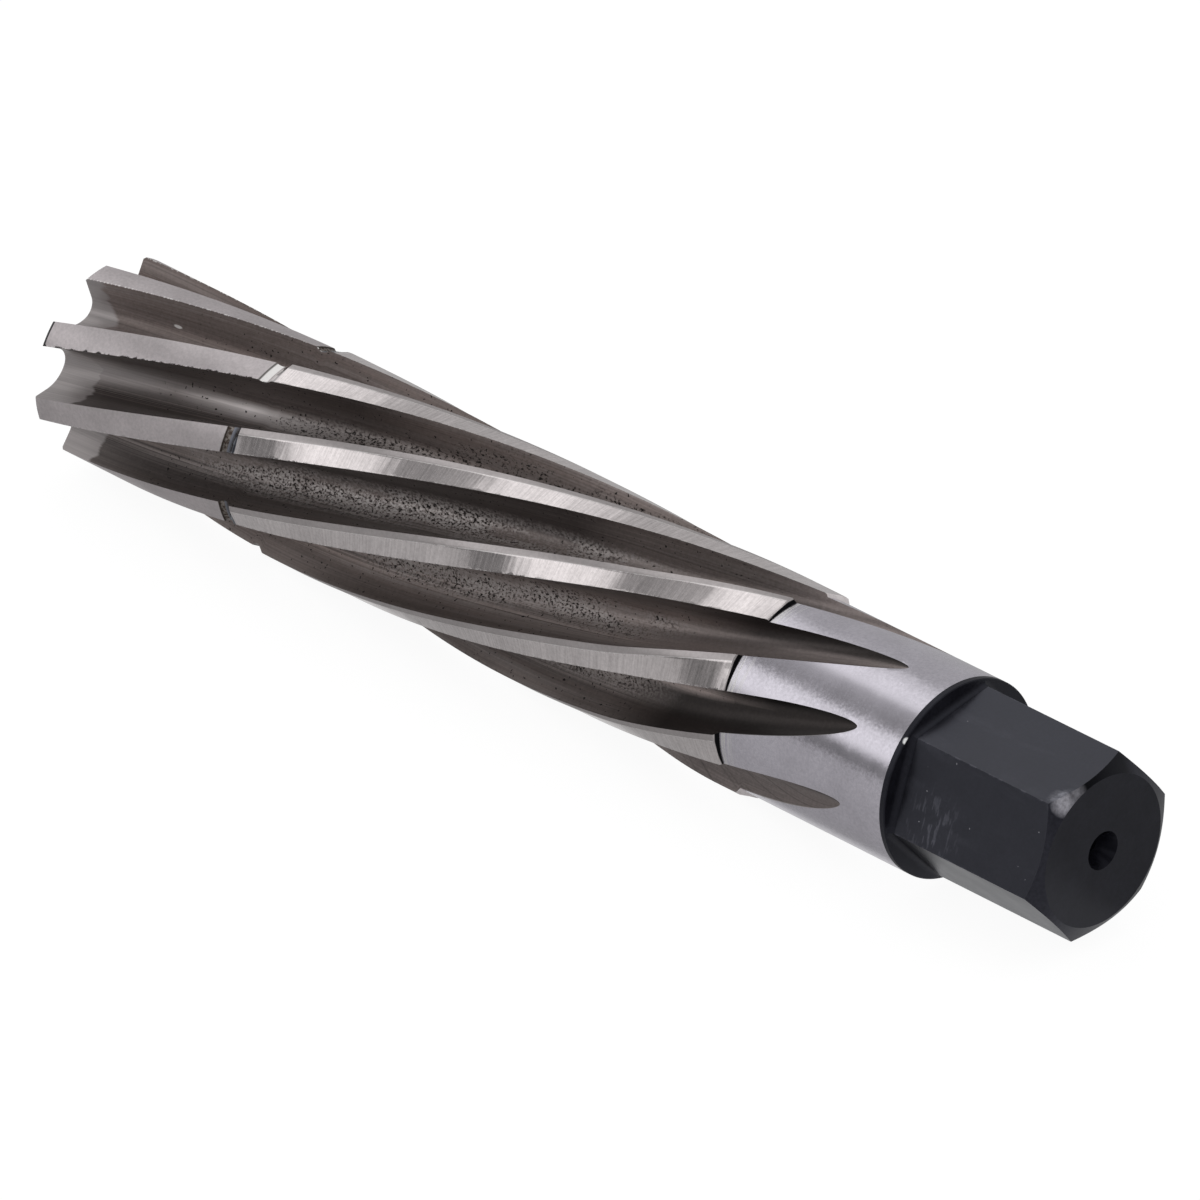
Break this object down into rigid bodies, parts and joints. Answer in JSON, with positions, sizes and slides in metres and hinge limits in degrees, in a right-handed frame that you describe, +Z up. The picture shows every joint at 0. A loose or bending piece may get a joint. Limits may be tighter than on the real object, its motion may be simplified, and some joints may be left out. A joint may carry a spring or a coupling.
{
  "type": "bushing reamer",
  "caption": "Long left-hand spiral bushing reamer with a guiding pilot, a plain ground shank and a hexagon drive end.",
  "frame": {"origin": "on the surface the tool lies on, under the middle of its bounding box", "axes": "+X along the tool's axis towards the hexagon drive end, +Z up, away from the surface it lies on"},
  "size_m": [0.2928, 0.046, 0.046],
  "materials": {
    "steel": "ground lands, dark hardened flutes and a blackened drive end"
  },
  "bodies": {
    "root": {"reamer": "steel"}
  },
  "joints": []
}
